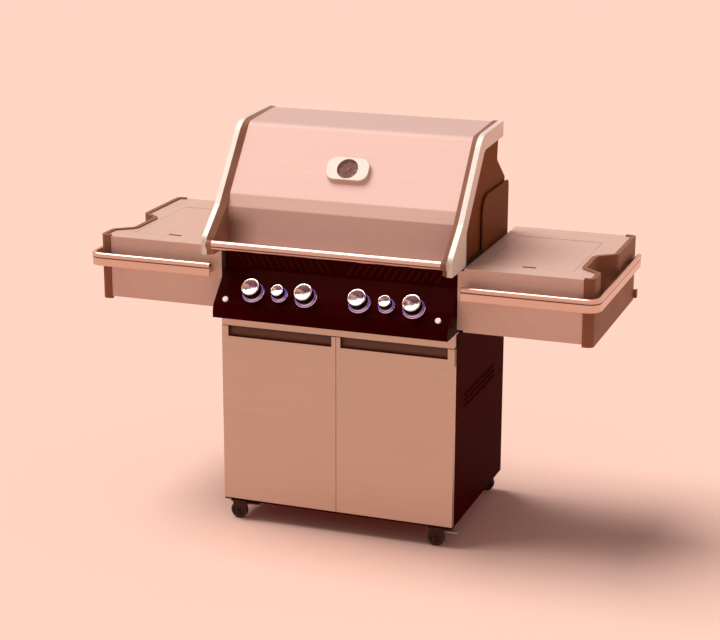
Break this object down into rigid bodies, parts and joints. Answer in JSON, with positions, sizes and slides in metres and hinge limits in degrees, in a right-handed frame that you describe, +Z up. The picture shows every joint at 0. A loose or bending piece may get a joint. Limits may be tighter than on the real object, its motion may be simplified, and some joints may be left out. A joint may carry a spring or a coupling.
{
  "type": "gas barbecue grill",
  "caption": "Freestanding gas grill on a closed two-door cart, with a hinged hood, folded control panel, side shelves under round rails, side burner and casters.",
  "frame": {"origin": "on the floor under the middle of the whole grill, midway between the lid handle's front and the back of the side shelves", "axes": "+X to the right seen from the front, +Y from the doors towards the back, +Z up"},
  "size_m": [1.68, 0.71, 1.297],
  "materials": {
    "lid_steel": "fine brushed along the width",
    "front_steel": "satin brushed",
    "shelf_steel": "satin brushed",
    "rail_steel": "bright satin",
    "handle_steel": "bright satin",
    "rim_casting": "satin bead-blasted casting",
    "hood_enamel": "satin enamel",
    "cart_enamel": "fine textured powder coat",
    "panel_enamel": "gloss enamel",
    "cap_plastic": "fine moulded grain",
    "knob_chrome": "polished with a satin dished face",
    "bezel_chrome": "polished",
    "button_plastic": "smooth",
    "gauge_metal": "satin",
    "dial_paint": "matt",
    "needle_paint": "satin",
    "dial_glass": "clear",
    "tyre_rubber": "matt",
    "caster_zinc": "zinc plated",
    "pedal_plastic": "moulded",
    "box_steel": "plain rolled sheet",
    "burner_steel": "plain drawn tube",
    "grate_iron": "porcelain enamelled",
    "rack_chrome": "plated wire",
    "valve_brass": "machined",
    "manifold_steel": "zinc-grey coat"
  },
  "bodies": {
    "cart": {"cabinet_floor": "cart_enamel", "cabinet_left_panel": "cart_enamel", "cabinet_right_panel": "cart_enamel", "cabinet_back_panel": "cart_enamel", "header_rail": "front_steel", "firebox": "box_steel", "lid_cowls": "hood_enamel", "rear_baffle": "box_steel", "control_panel": "panel_enamel", "knob_bezels": "bezel_chrome", "gas_manifold": "manifold_steel", "gas_valves": "valve_brass", "burner_tubes": "burner_steel", "heat_plates": "box_steel", "cooking_grates": "grate_iron", "rear_burner": "burner_steel", "warming_rack": "rack_chrome", "left_shelf": "shelf_steel", "right_shelf": "shelf_steel", "left_end_cap": "cap_plastic", "right_end_cap": "cap_plastic", "left_rail": "rail_steel", "right_rail": "rail_steel", "rail_brackets": "rail_steel", "side_burner": "box_steel", "side_burner_grate": "grate_iron", "shelf_bin": "box_steel", "caster_plates": "caster_zinc"},
    "lid": {"lid_shell": "lid_steel", "lid_left_casting": "rim_casting", "lid_right_casting": "rim_casting", "lid_side_plates": "hood_enamel", "lid_handle": "handle_steel", "thermometer_bezel": "gauge_metal", "thermometer_dial": "dial_paint", "thermometer_glass": "dial_glass"},
    "gauge_needle": {"thermometer_needle": "needle_paint"},
    "door_left": {"left_door": "front_steel"},
    "door_right": {"right_door": "front_steel"},
    "tray": {"drip_tray": "box_steel"},
    "cover_right": {"side_burner_cover": "shelf_steel"},
    "cover_left": {"bin_cover": "shelf_steel"},
    "button_left": {"left_button": "button_plastic"},
    "button_right": {"right_button": "button_plastic"},
    "control_1": {"knob_1": "knob_chrome"},
    "control_2": {"knob_2": "knob_chrome"},
    "control_3": {"knob_3": "knob_chrome"},
    "control_4": {"knob_4": "knob_chrome"},
    "control_5": {"knob_5": "knob_chrome"},
    "control_6": {"knob_6": "knob_chrome"},
    "caster_front_left": {"caster_fork_front_left": "caster_zinc"},
    "wheel_front_left": {"caster_wheel_front_left": "tyre_rubber"},
    "pedal_front_left": {"brake_pedal_front_left": "pedal_plastic"},
    "caster_front_right": {"caster_fork_front_right": "caster_zinc"},
    "wheel_front_right": {"caster_wheel_front_right": "tyre_rubber"},
    "pedal_front_right": {"brake_pedal_front_right": "pedal_plastic"},
    "caster_back_left": {"caster_fork_back_left": "caster_zinc"},
    "wheel_back_left": {"caster_wheel_back_left": "tyre_rubber"},
    "caster_back_right": {"caster_fork_back_right": "caster_zinc"},
    "wheel_back_right": {"caster_wheel_back_right": "tyre_rubber"}
  },
  "joints": [
    {"name": "lid_hinge", "type": "hinge", "parent": "cart", "child": "lid", "pos_m": [0, 0.1405, 0.968], "axis": [-1, 0, 0], "range_deg": [0, 85]},
    {"name": "needle_turn", "type": "hinge", "parent": "lid", "child": "gauge_needle", "pos_m": [0, -0.13571, 1.17195], "axis": [0, 0.7727, -0.6347], "range_deg": [0, 270], "stiffness_Nm_per_rad": 0.002},
    {"name": "left_door_hinge", "type": "hinge", "parent": "cart", "child": "door_left", "pos_m": [-0.378, -0.2355, 0.368], "axis": [0, 0, -1], "range_deg": [0, 110]},
    {"name": "right_door_hinge", "type": "hinge", "parent": "cart", "child": "door_right", "pos_m": [0.378, -0.2355, 0.368], "axis": [0, 0, 1], "range_deg": [0, 110]},
    {"name": "drip_tray_slide", "type": "slide", "parent": "cart", "child": "tray", "axis": [0, 1, 0], "range_m": [0, 0.4]},
    {"name": "cover_right_hinge", "type": "hinge", "parent": "cart", "child": "cover_right", "pos_m": [0.59, 0.223, 0.9105], "axis": [-1, 0, 0], "range_deg": [0, 95]},
    {"name": "button_right_press", "type": "slide", "parent": "cart", "child": "button_right", "axis": [0, 0.7071, -0.7071], "range_m": [0, 0.003], "stiffness_N_per_m": 800},
    {"name": "cover_left_hinge", "type": "hinge", "parent": "cart", "child": "cover_left", "pos_m": [-0.59, 0.223, 0.9105], "axis": [-1, 0, 0], "range_deg": [0, 95]},
    {"name": "button_left_press", "type": "slide", "parent": "cart", "child": "button_left", "axis": [0, 0.7071, -0.7071], "range_m": [0, 0.003], "stiffness_N_per_m": 800},
    {"name": "knob_1_turn", "type": "hinge", "parent": "cart", "child": "control_1", "pos_m": [-0.2649, -0.27353, 0.78697], "axis": [0, -0.7071, 0.7071], "range_deg": [0, 180]},
    {"name": "knob_2_turn", "type": "hinge", "parent": "cart", "child": "control_2", "pos_m": [-0.1766, -0.27353, 0.78697], "axis": [0, -0.7071, 0.7071], "range_deg": [0, 180]},
    {"name": "knob_3_turn", "type": "hinge", "parent": "cart", "child": "control_3", "pos_m": [-0.0883, -0.27353, 0.78697], "axis": [0, -0.7071, 0.7071], "range_deg": [0, 180]},
    {"name": "knob_4_turn", "type": "hinge", "parent": "cart", "child": "control_4", "pos_m": [0.0883, -0.27353, 0.78697], "axis": [0, -0.7071, 0.7071], "range_deg": [0, 180]},
    {"name": "knob_5_turn", "type": "hinge", "parent": "cart", "child": "control_5", "pos_m": [0.1766, -0.27353, 0.78697], "axis": [0, -0.7071, 0.7071], "range_deg": [0, 180]},
    {"name": "knob_6_turn", "type": "hinge", "parent": "cart", "child": "control_6", "pos_m": [0.2649, -0.27353, 0.78697], "axis": [0, -0.7071, 0.7071], "range_deg": [0, 180]},
    {"name": "caster_front_left_swivel", "type": "hinge", "parent": "cart", "child": "caster_front_left", "pos_m": [-0.338, -0.2215, 0.06], "axis": [0, 0, 1], "continuous": true},
    {"name": "wheel_front_left_roll", "type": "hinge", "parent": "caster_front_left", "child": "wheel_front_left", "pos_m": [-0.346, -0.2215, 0.028], "axis": [0, 1, 0], "continuous": true},
    {"name": "pedal_front_left_press", "type": "hinge", "parent": "caster_front_left", "child": "pedal_front_left", "pos_m": [-0.32, -0.2215, 0.052], "axis": [0, 1, 0], "range_deg": [0, 20]},
    {"name": "caster_front_right_swivel", "type": "hinge", "parent": "cart", "child": "caster_front_right", "pos_m": [0.338, -0.2215, 0.06], "axis": [0, 0, 1], "continuous": true},
    {"name": "wheel_front_right_roll", "type": "hinge", "parent": "caster_front_right", "child": "wheel_front_right", "pos_m": [0.33, -0.2215, 0.028], "axis": [0, 1, 0], "continuous": true},
    {"name": "pedal_front_right_press", "type": "hinge", "parent": "caster_front_right", "child": "pedal_front_right", "pos_m": [0.356, -0.2215, 0.052], "axis": [0, 1, 0], "range_deg": [0, 20]},
    {"name": "caster_back_left_swivel", "type": "hinge", "parent": "cart", "child": "caster_back_left", "pos_m": [-0.338, 0.2915, 0.06], "axis": [0, 0, 1], "continuous": true},
    {"name": "wheel_back_left_roll", "type": "hinge", "parent": "caster_back_left", "child": "wheel_back_left", "pos_m": [-0.33, 0.2915, 0.028], "axis": [0, 1, 0], "continuous": true},
    {"name": "caster_back_right_swivel", "type": "hinge", "parent": "cart", "child": "caster_back_right", "pos_m": [0.338, 0.2915, 0.06], "axis": [0, 0, 1], "continuous": true},
    {"name": "wheel_back_right_roll", "type": "hinge", "parent": "caster_back_right", "child": "wheel_back_right", "pos_m": [0.346, 0.2915, 0.028], "axis": [0, 1, 0], "continuous": true}
  ]
}
